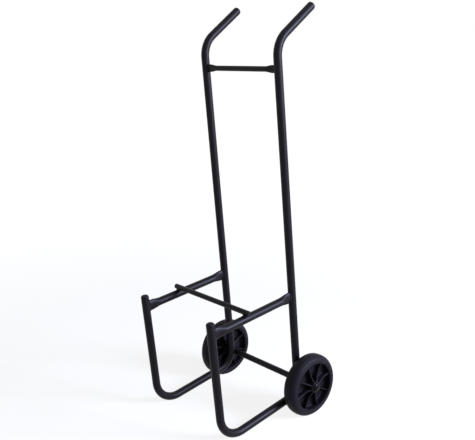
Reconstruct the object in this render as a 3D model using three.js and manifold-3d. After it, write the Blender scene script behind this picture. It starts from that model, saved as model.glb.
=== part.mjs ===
import * as THREE from 'three';
import { mergeVertices } from 'three/addons/utils/BufferGeometryUtils.js';
import Module from 'manifold-3d';

const wasm = await Module();
wasm.setup();

// A chair dolly: two bent side tubes joined by cross bars, on a pair of wheels.
// Millimetres. The floor is level, up is +Z, and the load side with the short posts faces -Y.

// Side tubes
const tubeDiameter = 25;
const tubeWall = 1.5;
const frameSpan = 318;
const uprightLeanDeg = 6.55;
const postLeanDeg = 7.1;
const handleLeanDeg = 52.65;
const handleBendRadius = 75;
const frontBendRadius = 75;
const rearBendRadius = 60;
const handleRun = 129.5;
const uprightRun = 1003;
const baseRun = 190;
const postRun = 305;

// Side rails, pressed flat where they meet the side tubes
const railDiameter = 25;
const railWall = 1.5;
const railFlatHeight = 36;
const railFlatRun = 10;
const railBlendRun = 38;
const railDropFromPostTop = 34;
const railRiseOnUpright = 280;

// Top cross bar, pressed flat at both ends
const crossbarDiameter = 16;
const crossbarWall = 1.2;
const crossbarFlatHeight = 23;
const crossbarFlatRun = 11;
const crossbarBlendRun = 21;
const crossbarDropFromBend = 31.5;

// Cross rod carried on two short stubs above the rails
const rodDiameter = 16;
const rodLeftOverhang = 11.5;
const rodRightOverhang = 20.5;
const rodEdgeRadius = 2;
const rodStandOff = 1.5;
const rodFromPost = 131;
const stubDiameter = 13;

// Axle, set in a round notch at the back of each rear bend
const axleDiameter = 20;
const axleSetBack = 10.8;
const axleIntoBendDeg = 12;
const axleChamfer = 1;

// Wheels
const wheelDiameter = 200;
const wheelWidth = 50;
const wheelToTube = 5.5;
const tyreDepth = 21.5;
const tyreShoulderRadius = 19;
const tyreBeadInset = 1.5;
const rimThickness = 3;
const rimInset = 1.5;
const rimDraft = 1;
const webThickness = 4;
const hubDiameter = 37;
const hubProud = 0.5;
const hubDraft = 1;
const ribThickness = 3;
const ribHubInset = 2;
const ribRimInset = 5;
const ribDipShare = 0.15;
const ribRoot = 1;
const ribCount = 8;
const ribPhaseDeg = 18;

// Bushes, spacers and caps on the axle
const bushDiameter = 25;
const bushLength = 15;
const bushFlangeDiameter = 31;
const bushFlangeThickness = 1.5;
const spacerDiameter = 27;
const capDiameter = 26;
const capDepth = 7.5;
const capWall = 1.6;
const capDomeShare = 0.55;
const capInsetShare = 0.4;

// End plugs of the side tubes
const plugShank = 18;
const plugHeadHeight = 6;
const plugFlatShare = 0.2;
const plugHeadShare = 0.98;

// Clearance between neighbouring pieces
const fitGap = 0.3;

// How finely curves are divided
const tubeSides = 20;
const boreSides = 12;
const handleBendSteps = 6;
const rearBendSteps = 8;
const frontBendSteps = 9;
const boreBendSteps = 5;
const blendSteps = 4;
const barSides = 20;
const wheelSides = 36;
const shoulderSteps = 4;
const domeSteps = 3;
const edgeSteps = 2;

const degrees = THREE.MathUtils.degToRad;
const tubeRadius = tubeDiameter / 2;
const wheelRadius = wheelDiameter / 2;
const tyreBeadRadius = wheelRadius - tyreDepth;
const rimInnerRadius = tyreBeadRadius - rimThickness;
const axleRadius = axleDiameter / 2;
const rodRadius = rodDiameter / 2;
const railRadius = railDiameter / 2;
const across = new THREE.Vector3(1, 0, 0);

// A direction in the side view, as an angle up from +Y
function heading(angle) {
  return new THREE.Vector3(0, Math.cos(angle), Math.sin(angle));
}

// A point reached from another by going some way along a direction
function moved(point, direction, distance) {
  return point.clone().addScaledVector(direction, distance);
}

// Turns a surface's faces outwards and keeps only its points
function closedBody(geometry) {
  const plain = geometry.clone();
  plain.deleteAttribute('normal');
  plain.deleteAttribute('uv');
  const merged = dropFlatFaces(mergeVertices(plain));
  if (signedVolume(merged) < 0) turnInsideOut(merged);
  return merged;
}

function dropFlatFaces(geometry) {
  const index = geometry.index.array;
  const kept = [];
  for (let i = 0; i < index.length; i += 3) {
    const [a, b, c] = [index[i], index[i + 1], index[i + 2]];
    if (a !== b && b !== c && c !== a) kept.push(a, b, c);
  }
  geometry.setIndex(kept);
  return geometry;
}

function signedVolume(geometry) {
  const position = geometry.getAttribute('position');
  const index = geometry.index.array;
  const [a, b, c] = [new THREE.Vector3(), new THREE.Vector3(), new THREE.Vector3()];
  let volume = 0;
  for (let i = 0; i < index.length; i += 3) {
    a.fromBufferAttribute(position, index[i]);
    b.fromBufferAttribute(position, index[i + 1]);
    c.fromBufferAttribute(position, index[i + 2]);
    volume += a.dot(b.cross(c)) / 6;
  }
  return volume;
}

function turnInsideOut(geometry) {
  const index = geometry.index.array;
  for (let i = 0; i < index.length; i += 3) {
    [index[i + 1], index[i + 2]] = [index[i + 2], index[i + 1]];
  }
}

// Solids for joining and cutting
function solidOf(geometry) {
  const body = closedBody(geometry);
  return new wasm.Manifold(new wasm.Mesh({
    numProp: 3,
    vertProperties: new Float32Array(body.getAttribute('position').array),
    triVerts: new Uint32Array(body.index.array),
  }));
}

function geometryOf(solid) {
  const mesh = solid.getMesh();
  const geometry = new THREE.BufferGeometry();
  geometry.setAttribute('position', new THREE.BufferAttribute(mesh.vertProperties, 3));
  geometry.setIndex(new THREE.BufferAttribute(mesh.triVerts, 1));
  return geometry;
}

function cut(geometry, ...cutters) {
  return geometryOf(cutters.reduce((solid, cutter) => solid.subtract(solidOf(cutter)), solidOf(geometry)));
}

function joined(geometry, ...others) {
  return geometryOf(others.reduce((solid, other) => solid.add(solidOf(other)), solidOf(geometry)));
}

// A tube's outline: round, or pressed to a greater height while its girth stays the same
function pressedOutline(radius, height, sides) {
  const endRadius = (2 * Math.PI * radius - 2 * height) / (2 * Math.PI - 4);
  const straight = height / 2 - endRadius;
  const outline = [];
  for (let i = 0; i < sides; i += 1) {
    const angle = (i + 0.5) / sides * 2 * Math.PI;
    const lift = Math.sign(Math.sin(angle)) * straight;
    outline.push(new THREE.Vector2(endRadius * Math.cos(angle), endRadius * Math.sin(angle) + lift));
  }
  return outline;
}

function roundOutline(radius, sides) {
  return pressedOutline(radius, 2 * radius, sides);
}

function ring(centre, wide, tall, outline) {
  return outline.map((point) => moved(moved(centre, wide, point.x), tall, point.y));
}

// A closed body skinned through rings of equally many points, with flat ends
function skin(rings) {
  const count = rings[0].length;
  const points = rings.flat();
  const index = [];
  for (let r = 0; r + 1 < rings.length; r += 1) {
    for (let i = 0; i < count; i += 1) {
      const next = (i + 1) % count;
      const [a, b] = [r * count + i, r * count + next];
      index.push(a, b, b + count, a, b + count, a + count);
    }
  }
  for (const [start, flip] of [[0, true], [(rings.length - 1) * count, false]]) {
    const middle = points.length;
    points.push(middleOf(points.slice(start, start + count)));
    for (let i = 0; i < count; i += 1) {
      const [a, b] = [start + i, start + (i + 1) % count];
      index.push(middle, ...(flip ? [b, a] : [a, b]));
    }
  }
  const geometry = new THREE.BufferGeometry().setFromPoints(points);
  geometry.setIndex(index);
  return closedBody(geometry);
}

function middleOf(points) {
  const sum = points.reduce((total, point) => total.add(point), new THREE.Vector3());
  return sum.divideScalar(points.length);
}

// A turned body: profile points are [radius, place along the axis], and the axis is X, Y or Z
function turned(profile, sides, axis, phase = 0) {
  const points = profile.map(([radius, place]) => new THREE.Vector2(radius, place));
  const geometry = new THREE.LatheGeometry(points, sides, phase);
  if (axis === 'x') geometry.rotateZ(-Math.PI / 2);
  if (axis === 'z') geometry.rotateX(Math.PI / 2);
  return closedBody(geometry);
}

function bar(radius, from, to, axis, sides = barSides) {
  return turned([[0, from], [radius, from], [radius, to], [0, to]], sides, axis);
}

// The path of a side tube in the side view, as points with the normal that lies in that view
function bend(centre, radius, from, to, steps, side) {
  const stations = [];
  for (let i = 0; i <= steps; i += 1) {
    const outward = heading(from + (to - from) * i / steps);
    stations.push({ point: moved(centre, outward, radius), normal: outward.multiplyScalar(side) });
  }
  return stations;
}

const uprightLean = degrees(uprightLeanDeg);
const postLean = degrees(postLeanDeg);
const handleLean = degrees(handleLeanDeg);
const uprightDirection = heading(Math.PI / 2 + uprightLean);
const postDirection = heading(Math.PI / 2 + postLean);
const handleDirection = heading(Math.PI / 2 - handleLean);

// The wheels stand on a facet of the tread, and the rear bend hangs from the axle
const axleHeight = wheelRadius * Math.cos(Math.PI / wheelSides);
const axleCentre = new THREE.Vector3(0, 0, axleHeight);
const axleAngle = uprightLean - degrees(axleIntoBendDeg);
const rearCentre = moved(axleCentre, heading(axleAngle), -(rearBendRadius + axleSetBack));

// The base slopes so that the front bend touches the floor as well
const bendDifference = frontBendRadius - rearBendRadius;
const baseReach = Math.hypot(bendDifference, baseRun);
const lowestTubeFacet = tubeRadius * Math.cos(Math.PI / tubeSides);
const frontRise = frontBendRadius + lowestTubeFacet - rearCentre.z;
const baseSlope = Math.acos(frontRise / baseReach) - Math.atan2(baseRun, bendDifference);
const baseDirection = heading(Math.PI + baseSlope);
const underBase = heading(baseSlope - Math.PI / 2);
const rearBendEnd = moved(rearCentre, underBase, rearBendRadius);
const frontBendStart = moved(rearBendEnd, baseDirection, baseRun);
const frontCentre = moved(frontBendStart, underBase, -frontBendRadius);
const postFoot = moved(frontCentre, heading(Math.PI + postLean), frontBendRadius);
const postTop = moved(postFoot, postDirection, postRun);
const uprightFoot = moved(rearCentre, heading(uprightLean), rearBendRadius);
const uprightHead = moved(uprightFoot, uprightDirection, uprightRun);
const handleCentre = moved(uprightHead, heading(uprightLean), handleBendRadius);
const handleFoot = moved(handleCentre, heading(Math.PI - handleLean), handleBendRadius);
const handleEnd = moved(handleFoot, handleDirection, handleRun);

function sidePath(handleSteps, rearSteps, frontSteps) {
  const behindHandle = heading(-handleLean);
  const beforePost = heading(postLean - Math.PI);
  return [
    { point: handleEnd, normal: behindHandle },
    ...bend(handleCentre, handleBendRadius, Math.PI - handleLean, Math.PI + uprightLean, handleSteps, -1),
    ...bend(rearCentre, rearBendRadius, uprightLean, baseSlope - Math.PI / 2, rearSteps, 1),
    ...bend(frontCentre, frontBendRadius, baseSlope - Math.PI / 2, postLean - Math.PI, frontSteps, 1),
    { point: postTop, normal: beforePost },
  ];
}

function alongPath(path, radius, sides) {
  return skin(path.map((station) => ring(station.point, across, station.normal, roundOutline(radius, sides))));
}

// The same path carried a little past both ends, so a bore opens them
function pastEnds(path, extra) {
  const [first, last] = [path[0], path[path.length - 1]];
  return [
    { point: moved(first.point, handleDirection, extra), normal: first.normal },
    ...path.slice(1, -1),
    { point: moved(last.point, postDirection, extra), normal: last.normal },
  ];
}

const finePath = sidePath(handleBendSteps, rearBendSteps, frontBendSteps);
const borePath = pastEnds(sidePath(boreBendSteps, boreBendSteps, boreBendSteps), tubeWall);
const sideClearance = alongPath(finePath, tubeRadius + fitGap, tubeSides);

function sideTube() {
  const outer = alongPath(finePath, tubeRadius, tubeSides);
  const bore = alongPath(borePath, tubeRadius - tubeWall, boreSides);
  const notch = bar(axleRadius + fitGap, -tubeDiameter, tubeDiameter, 'x');
  notch.translate(0, axleCentre.y, axleCentre.z);
  return cut(outer, bore, notch);
}

// A straight tube with both ends pressed flat. Its round part returns by a smooth blend.
function pressedHeight(distance, diameter, flatHeight, flatRun, blendRun) {
  const share = THREE.MathUtils.clamp((distance - flatRun) / blendRun, 0, 1);
  const eased = share * share * (3 - 2 * share);
  return flatHeight + (diameter - flatHeight) * eased;
}

function pressedStations(length, endRadius, flatRun, blendRun) {
  const places = [0, endRadius + flatRun];
  for (let i = 1; i <= blendSteps; i += 1) places.push(endRadius + flatRun + blendRun * i / blendSteps);
  return [...places, ...places.map((place) => length - place).reverse()];
}

function pressedTube(start, direction, wide, tall, length, form, inset, sides) {
  const rings = pressedStations(length, tubeRadius, form.flatRun, form.blendRun).map((place) => {
    const distance = Math.min(place, length - place) - tubeRadius;
    const height = pressedHeight(distance, form.diameter, form.flatHeight, form.flatRun, form.blendRun);
    const outline = pressedOutline(form.diameter / 2 - inset, height - 2 * inset, sides);
    return ring(moved(start, direction, place), wide, tall, outline);
  });
  return skin(rings);
}

function hollowPressedTube(start, direction, wide, tall, length, form) {
  const outer = pressedTube(start, direction, wide, tall, length, form, 0, tubeSides);
  const bore = pressedTube(start, direction, wide, tall, length, form, form.wall, boreSides);
  return { outer, bore };
}

// Rails run from the post to the upright
const railFront = moved(postTop, postDirection, -railDropFromPostTop);
const railRear = moved(uprightFoot, uprightDirection, railRiseOnUpright);
const railLength = railFront.distanceTo(railRear);
const railDirection = railRear.clone().sub(railFront).normalize();
const railNormal = new THREE.Vector3().crossVectors(across, railDirection);
const railForm = {
  diameter: railDiameter,
  wall: railWall,
  flatHeight: railFlatHeight,
  flatRun: railFlatRun,
  blendRun: railBlendRun,
};

function sideRail() {
  const tube = hollowPressedTube(railFront, railDirection, across, railNormal, railLength, railForm);
  return cut(tube.outer, tube.bore, sideClearance);
}

// The top cross bar joins the uprights just below the handle bends
const crossbarPlace = moved(uprightHead, uprightDirection, -crossbarDropFromBend);
const crossbarForm = {
  diameter: crossbarDiameter,
  wall: crossbarWall,
  flatHeight: crossbarFlatHeight,
  flatRun: crossbarFlatRun,
  blendRun: crossbarBlendRun,
};

function topCrossbar() {
  const start = moved(crossbarPlace, across, -frameSpan / 2);
  const tube = hollowPressedTube(start, across, heading(uprightLean), uprightDirection, frameSpan, crossbarForm);
  const leftClearance = sideClearance.clone().translate(-frameSpan / 2, 0, 0);
  const rightClearance = sideClearance.clone().translate(frameSpan / 2, 0, 0);
  return cut(tube.outer, tube.bore, leftClearance, rightClearance);
}

// The cross rod lies over both rails on stubs that are cut to fit rod and rail
const rodRise = railRadius + rodStandOff + rodRadius;
const rodPlace = moved(moved(railFront, railDirection, rodFromPost), railNormal, rodRise);
const rodHalfLength = (frameSpan + rodLeftOverhang + rodRightOverhang) / 2;
const rodMiddle = (rodRightOverhang - rodLeftOverhang) / 2;

function roundedBar(radius, halfLength, edge) {
  const profile = [[0, -halfLength]];
  for (let i = 0; i <= edgeSteps; i += 1) {
    const angle = Math.PI / 2 * i / edgeSteps;
    profile.push([radius - edge + edge * Math.sin(angle), -halfLength + edge - edge * Math.cos(angle)]);
  }
  const other = profile.map(([r, place]) => [r, -place]).reverse();
  return turned([...profile, ...other], barSides, 'x');
}

function crossRod() {
  return roundedBar(rodRadius, rodHalfLength, rodEdgeRadius).translate(rodMiddle, rodPlace.y, rodPlace.z);
}

function rodStub() {
  const foot = moved(rodPlace, railNormal, -rodRise);
  const column = skin([foot, rodPlace].map((point) => {
    return ring(point, across, railDirection, roundOutline(stubDiameter / 2, barSides));
  }));
  const railEnds = [moved(foot, railDirection, -railDiameter), moved(foot, railDirection, railDiameter)];
  const rail = skin(railEnds.map((point) => {
    return ring(point, across, railNormal, roundOutline(railRadius + fitGap, tubeSides));
  }));
  const rod = bar(rodRadius + fitGap, -stubDiameter, stubDiameter, 'x').translate(0, rodPlace.y, rodPlace.z);
  return cut(column, rail, rod);
}

// Plugs close the tube ends: a shank in the bore and a low rounded head
function endPlug() {
  const shankRadius = (tubeRadius - tubeWall) * Math.cos(Math.PI / boreSides) - fitGap;
  const headRadius = tubeRadius * plugHeadShare;
  const flatRadius = headRadius * plugFlatShare;
  const profile = [[0, -plugShank], [shankRadius, -plugShank], [shankRadius, fitGap], [headRadius, fitGap]];
  for (let i = 1; i <= domeSteps; i += 1) {
    const angle = Math.PI / 2 * i / domeSteps;
    const radius = flatRadius + (headRadius - flatRadius) * Math.cos(angle);
    profile.push([radius, fitGap + plugHeadHeight * Math.sin(angle)]);
  }
  profile.push([0, fitGap + plugHeadHeight]);
  return turned(profile, tubeSides, 'y', Math.PI / tubeSides);
}

// Places along the axle, measured from the middle of the dolly
const tubeFace = frameSpan / 2 + tubeRadius;
const wheelMiddle = tubeFace + wheelToTube + wheelWidth / 2;
const hubHalfLength = wheelWidth / 2 + hubProud;
const bushReach = hubHalfLength + bushFlangeThickness;
const capBase = wheelMiddle + bushReach + fitGap;
const axleHalfLength = capBase + capDepth * capInsetShare;
const spacerStart = tubeFace + fitGap;
const spacerEnd = wheelMiddle - bushReach - fitGap;

function axle() {
  return roundedBar(axleRadius, axleHalfLength, axleChamfer);
}

function axleSpacer() {
  const [inner, outer] = [axleRadius + fitGap, spacerDiameter / 2];
  const profile = [[inner, spacerStart], [outer, spacerStart], [outer, spacerEnd], [inner, spacerEnd]];
  return turned([...profile, profile[0]], barSides, 'x');
}

// A bush lines one end of the hub, with its flange against the hub's face
function hubBush() {
  const [inner, outer, flange] = [axleRadius + fitGap, bushDiameter / 2, bushFlangeDiameter / 2];
  const profile = [
    [inner, hubHalfLength - bushLength],
    [outer, hubHalfLength - bushLength],
    [outer, hubHalfLength + fitGap / 2],
    [flange, hubHalfLength + fitGap / 2],
    [flange, bushReach],
    [inner, bushReach],
  ];
  return turned([...profile, profile[0]], barSides, 'x');
}

function axleCap() {
  const [inner, outer] = [axleRadius + fitGap, capDiameter / 2];
  const shoulder = capDepth * (1 - capDomeShare);
  const profile = [[0, capDepth - capWall], [inner, capDepth - capWall], [inner, 0], [outer, 0], [outer, shoulder]];
  for (let i = 1; i <= domeSteps; i += 1) {
    const angle = Math.PI / 2 * i / domeSteps;
    profile.push([outer * Math.cos(angle), shoulder + capDepth * capDomeShare * Math.sin(angle)]);
  }
  return turned(profile, barSides, 'x').translate(capBase, 0, 0);
}

// The wheel's outline is the same on both faces, so half a profile is mirrored
function mirroredProfile(half) {
  const other = half.map(([radius, place]) => [radius, -place]).reverse();
  return [...half, ...other, half[0]];
}

function tyre() {
  const halfWidth = wheelWidth / 2;
  const beadPlace = halfWidth - tyreBeadInset;
  const sideRadius = tyreBeadRadius + tyreBeadInset;
  const half = [[tyreBeadRadius + fitGap / 2, beadPlace], [sideRadius, halfWidth]];
  for (let i = 0; i <= shoulderSteps; i += 1) {
    const angle = Math.PI / 2 * (1 - i / shoulderSteps);
    const radius = wheelRadius - tyreShoulderRadius + tyreShoulderRadius * Math.cos(angle);
    half.push([radius, halfWidth - tyreShoulderRadius + tyreShoulderRadius * Math.sin(angle)]);
  }
  return turned(mirroredProfile(half), wheelSides, 'x', Math.PI / wheelSides);
}

function wheelBody() {
  const [boreRadius, hubRadius] = [bushDiameter / 2 + fitGap, hubDiameter / 2];
  const [halfWeb, rimPlace] = [webThickness / 2, wheelWidth / 2 - rimInset];
  const half = [
    [boreRadius, hubHalfLength],
    [hubRadius - hubDraft, hubHalfLength],
    [hubRadius, halfWeb],
    [rimInnerRadius - rimDraft, halfWeb],
    [rimInnerRadius, rimPlace],
    [tyreBeadRadius - fitGap / 2, rimPlace],
  ];
  return turned(mirroredProfile([...half].reverse()), wheelSides, 'x', Math.PI / wheelSides);
}

// A rib runs from hub to rim on both sides of the web, and its edges dip between the two
function wheelRib(angle) {
  const [inner, outer] = [hubDiameter / 2 - hubDraft - ribRoot, rimInnerRadius + ribRoot];
  const [hubPlace, rimPlace] = [hubHalfLength - ribHubInset, wheelWidth / 2 - ribRimInset];
  const dip = rimPlace + (hubPlace - rimPlace) * ribDipShare;
  const outline = new THREE.Shape();
  outline.moveTo(inner, -hubPlace);
  outline.quadraticCurveTo((inner + outer) / 2, -dip, outer, -rimPlace);
  outline.lineTo(outer, rimPlace);
  outline.quadraticCurveTo((inner + outer) / 2, dip, inner, hubPlace);
  outline.closePath();
  const plate = new THREE.ExtrudeGeometry(outline, {
    depth: ribThickness,
    bevelEnabled: false,
    curveSegments: domeSteps,
  });
  plate.translate(0, 0, -ribThickness / 2);
  plate.applyMatrix4(new THREE.Matrix4().makeBasis(heading(0), across, heading(Math.PI / 2)));
  return plate.rotateX(angle);
}

function wheelCentre() {
  const ribs = [];
  for (let i = 0; i < ribCount; i += 1) {
    ribs.push(wheelRib(degrees(ribPhaseDeg) + 2 * Math.PI * i / ribCount));
  }
  return joined(wheelBody(), ...ribs);
}

// Finishes seen on the real object
const finishes = {
  paint: { color: 0x17171c, roughness: 0.38, metalness: 0.1 },
  rubber: { color: 0x1b1b20, roughness: 0.7, metalness: 0 },
  plastic: { color: 0x151518, roughness: 0.5, metalness: 0 },
  cap: { color: 0x0e0e11, roughness: 0.3, metalness: 0 },
};

function piece(name, geometry, finish) {
  const mesh = new THREE.Mesh(geometry, new THREE.MeshStandardMaterial({ ...finishes[finish], flatShading: true }));
  mesh.name = name;
  return mesh;
}

function placed(mesh, x, point = new THREE.Vector3(), turn = 0) {
  mesh.position.set(x, point.y, point.z);
  mesh.rotation.x = turn;
  return mesh;
}

function sideFrame(side, shapes) {
  const x = side.sign * frameSpan / 2;
  const frame = new THREE.Group();
  frame.add(
    placed(piece(`${side.name}_side_tube`, shapes.tube, 'paint'), x),
    placed(piece(`${side.name}_side_rail`, shapes.rail, 'paint'), x),
    placed(piece(`${side.name}_rod_stub`, shapes.stub, 'paint'), x),
    placed(piece(`${side.name}_handle_plug`, shapes.plug, 'plastic'), x, handleEnd, Math.PI / 2 - handleLean),
    placed(piece(`${side.name}_post_plug`, shapes.plug, 'plastic'), x, postTop, Math.PI / 2 + postLean),
  );
  return frame;
}

// Everything on the axle outside a side tube. The set is made for +X and turned round for -X.
function wheelSet(side, shapes) {
  const set = new THREE.Group();
  set.position.copy(axleCentre);
  set.rotation.z = side.sign > 0 ? 0 : Math.PI;
  const inner = placed(piece(`${side.name}_inner_bush`, shapes.bush, 'plastic'), wheelMiddle);
  inner.rotation.z = Math.PI;
  set.add(
    piece(`${side.name}_axle_spacer`, shapes.spacer, 'paint'),
    placed(piece(`${side.name}_tyre`, shapes.tyre, 'rubber'), wheelMiddle),
    placed(piece(`${side.name}_wheel_centre`, shapes.centre, 'plastic'), wheelMiddle),
    inner,
    placed(piece(`${side.name}_outer_bush`, shapes.bush, 'plastic'), wheelMiddle),
    piece(`${side.name}_axle_cap`, shapes.cap, 'cap'),
  );
  return set;
}

function chairDolly() {
  const frameShapes = { tube: sideTube(), rail: sideRail(), stub: rodStub(), plug: endPlug() };
  const wheelShapes = {
    spacer: axleSpacer(),
    tyre: tyre(),
    centre: wheelCentre(),
    bush: hubBush(),
    cap: axleCap(),
  };
  const dolly = new THREE.Group();
  for (const side of [{ name: 'left', sign: -1 }, { name: 'right', sign: 1 }]) {
    dolly.add(sideFrame(side, frameShapes), wheelSet(side, wheelShapes));
  }
  dolly.add(
    piece('top_crossbar', topCrossbar(), 'paint'),
    piece('cross_rod', crossRod(), 'paint'),
    placed(piece('axle', axle(), 'paint'), 0, axleCentre),
  );
  return dolly;
}

// The origin is under the middle of the dolly's outer box, at the floor
function centredOnFloor(group) {
  const box = new THREE.Box3().setFromObject(group, true);
  group.position.set(0, -(box.min.y + box.max.y) / 2, -box.min.z);
  group.updateMatrixWorld(true);
  return group;
}

export default centredOnFloor(chairDolly());
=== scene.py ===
# %% [markdown]
# A chair dolly in black paint
#
# The real object is a two-wheeled trolley for stacked chairs. Two long tubes are bent into
# handles, uprights and feet, and rails, rods and an axle join them. Almost everything that
# shows is one kind of black paint on round steel, so the looks depend on true bends, soft
# edges and a calm light. Every piece below is built in metres, where the CAD model has it.

import bpy
import math
from mathutils import Matrix, Vector


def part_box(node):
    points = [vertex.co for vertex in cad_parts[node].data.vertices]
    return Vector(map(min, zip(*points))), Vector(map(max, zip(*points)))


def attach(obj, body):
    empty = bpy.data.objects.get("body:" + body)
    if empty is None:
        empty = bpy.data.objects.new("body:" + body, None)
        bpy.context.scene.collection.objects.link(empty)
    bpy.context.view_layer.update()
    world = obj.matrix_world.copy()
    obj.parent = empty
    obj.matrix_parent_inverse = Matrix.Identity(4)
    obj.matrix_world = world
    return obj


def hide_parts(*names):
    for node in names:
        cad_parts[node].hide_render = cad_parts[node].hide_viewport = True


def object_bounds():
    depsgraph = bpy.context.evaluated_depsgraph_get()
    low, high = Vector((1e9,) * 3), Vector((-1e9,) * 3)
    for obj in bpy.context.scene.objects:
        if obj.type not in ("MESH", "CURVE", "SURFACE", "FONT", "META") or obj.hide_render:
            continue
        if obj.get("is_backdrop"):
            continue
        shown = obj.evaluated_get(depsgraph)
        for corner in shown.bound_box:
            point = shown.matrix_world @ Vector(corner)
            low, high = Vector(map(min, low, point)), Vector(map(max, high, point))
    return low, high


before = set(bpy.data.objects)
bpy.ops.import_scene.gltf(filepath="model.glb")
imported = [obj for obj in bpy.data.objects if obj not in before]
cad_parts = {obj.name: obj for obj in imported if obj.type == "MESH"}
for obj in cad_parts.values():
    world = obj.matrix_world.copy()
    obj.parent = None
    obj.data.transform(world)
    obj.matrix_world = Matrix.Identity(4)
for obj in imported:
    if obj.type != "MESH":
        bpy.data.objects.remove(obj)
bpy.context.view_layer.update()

# %% [markdown]
# The camera
#
# A photograph is a perspective view, so the distance matters as much as the angle. The place,
# the turn and the focal length below were worked out from the edges of the tubes and wheels
# in the photograph. A longer lens from further away would flatten the frame, so all of these
# numbers belong together.

# %% The camera of the photograph
PHOTO_WIDTH = 475
SENSOR_WIDTH = 36.0
FOCAL_PIXELS = 702.96
VIEW_AZIMUTH, VIEW_ELEVATION, VIEW_ROLL = 47.927, 12.572, 0.392
VIEW_PLACE = Vector((1.5819, -1.4143, 1.0938))


def camera_turn(azimuth, elevation, roll):
    """The camera's turn, from where it stands round the object, its height and its tilt."""
    a, e, r = (math.radians(angle) for angle in (azimuth, elevation, roll))
    forward = Vector((-math.sin(a) * math.cos(e), math.cos(a) * math.cos(e), -math.sin(e)))
    level = Vector((math.cos(a), math.sin(a), 0))
    upright = level.cross(forward)
    right = level * math.cos(r) + upright * math.sin(r)
    up = upright * math.cos(r) - level * math.sin(r)
    return Matrix((right, up, -forward)).transposed()


camera_data = bpy.data.cameras.new("camera")
camera_data.sensor_width = SENSOR_WIDTH
camera_data.lens = FOCAL_PIXELS / PHOTO_WIDTH * SENSOR_WIDTH
camera = bpy.data.objects.new("camera", camera_data)
turn = camera_turn(VIEW_AZIMUTH, VIEW_ELEVATION, VIEW_ROLL)
camera.matrix_world = Matrix.Translation(VIEW_PLACE) @ turn.to_4x4()
bpy.context.scene.collection.objects.link(camera)
bpy.context.scene.camera = camera
bpy.context.scene.view_settings.view_transform = "Standard"
print("lens:", round(camera_data.lens, 2), "mm")

# %% [markdown]
# Adding nodes
#
# Every finish and every geometry tree is a small network. One function adds a node, sets its
# settings and fills its inputs, where an input is either a plain value or another node's
# output. Colours are written as hex, as in a paint book, and one function turns them to the
# linear values that the renderer adds up.

# %% Two helpers for all networks
def add_node(tree, kind, inputs=None, **settings):
    made = tree.nodes.new(kind)
    for name, value in settings.items():
        setattr(made, name, value)
    for name, value in (inputs or {}).items():
        if isinstance(value, bpy.types.NodeSocket):
            tree.links.new(value, made.inputs[name])
        else:
            made.inputs[name].default_value = value
    return made


def linear(hex_colour):
    channels = [int(hex_colour[i:i + 2], 16) / 255 for i in (1, 3, 5)]
    curve = [c / 12.92 if c <= 0.04045 else ((c + 0.055) / 1.055) ** 2.4 for c in channels]
    return (*curve, 1.0)


print("a middle grey as light:", round(linear("#808080")[0], 3))

# %% [markdown]
# The floor, the backdrop and the lamps
#
# The photograph shows the dolly on plain white. White that comes from brighter lamps would
# bleach the black paint, so the camera's own rays are told to find white in the world and on
# the floor instead, and so are mirror rays, so that the gloss shows the same studio. The
# floor glows more with distance, which hides the horizon but leaves a soft shadow under the
# wheels. The lamps only have to model the tubes: a cool window on the right draws the narrow
# streaks along them, and a wide, weak screen beside it softens their edges.

# %% A white world
WHITE = (1, 1, 1, 1)
ROOM_LIGHT = 0.18


def seen_white(tree):
    """Gives 1 to the rays of the camera, of gloss and of clear parts, and 0 to all others."""
    path = add_node(tree, "ShaderNodeLightPath")
    direct = add_node(tree, "ShaderNodeMath", {
        0: path.outputs["Is Camera Ray"], 1: path.outputs["Is Glossy Ray"]}, operation="MAXIMUM")
    seen = add_node(tree, "ShaderNodeMath", {
        0: direct.outputs[0], 1: path.outputs["Is Transmission Ray"]}, operation="MAXIMUM")
    return seen.outputs[0]


def white_world():
    world = bpy.data.worlds.new("studio")
    world.use_nodes = True
    tree = world.node_tree
    tree.nodes.clear()
    strength = add_node(tree, "ShaderNodeMapRange", {
        "Value": seen_white(tree), "To Min": ROOM_LIGHT, "To Max": 1.0})
    sky = add_node(tree, "ShaderNodeBackground", {
        "Color": WHITE, "Strength": strength.outputs[0]})
    add_node(tree, "ShaderNodeOutputWorld", {"Surface": sky.outputs[0]})
    bpy.context.scene.world = world
    return world


print(white_world().name, "lights the room with", ROOM_LIGHT)

# %% A floor that keeps the shadow
FLOOR_HALF = 15.0
NEAR_GLOW, FAR_GLOW = 0.86, 1.0
NEAR, FAR = 1.2, 3.5
PAPER, SHADED_PAPER = "#e6e6e6", "#6c6c6c"


def floor_paper():
    material = bpy.data.materials.new("studio_floor")
    material.use_nodes = True
    tree = material.node_tree
    tree.nodes.clear()
    paper = add_node(tree, "ShaderNodeBsdfDiffuse", {"Color": linear(PAPER)})
    shaded_paper = add_node(tree, "ShaderNodeBsdfDiffuse", {"Color": linear(SHADED_PAPER)})
    place = add_node(tree, "ShaderNodeTexCoord").outputs["Object"]
    distance = add_node(tree, "ShaderNodeVectorMath", {0: place}, operation="LENGTH")
    rising = add_node(tree, "ShaderNodeMapRange", {
        "Value": distance.outputs["Value"], "From Min": NEAR, "From Max": FAR,
        "To Min": NEAR_GLOW, "To Max": FAR_GLOW})
    glow = add_node(tree, "ShaderNodeEmission", {"Color": WHITE, "Strength": rising.outputs[0]})
    both = add_node(tree, "ShaderNodeAddShader", {
        0: shaded_paper.outputs[0], 1: glow.outputs[0]})
    seen = add_node(tree, "ShaderNodeMixShader", {
        0: seen_white(tree), 1: paper.outputs[0], 2: both.outputs[0]})
    add_node(tree, "ShaderNodeOutputMaterial", {"Surface": seen.outputs[0]})
    return material


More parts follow.
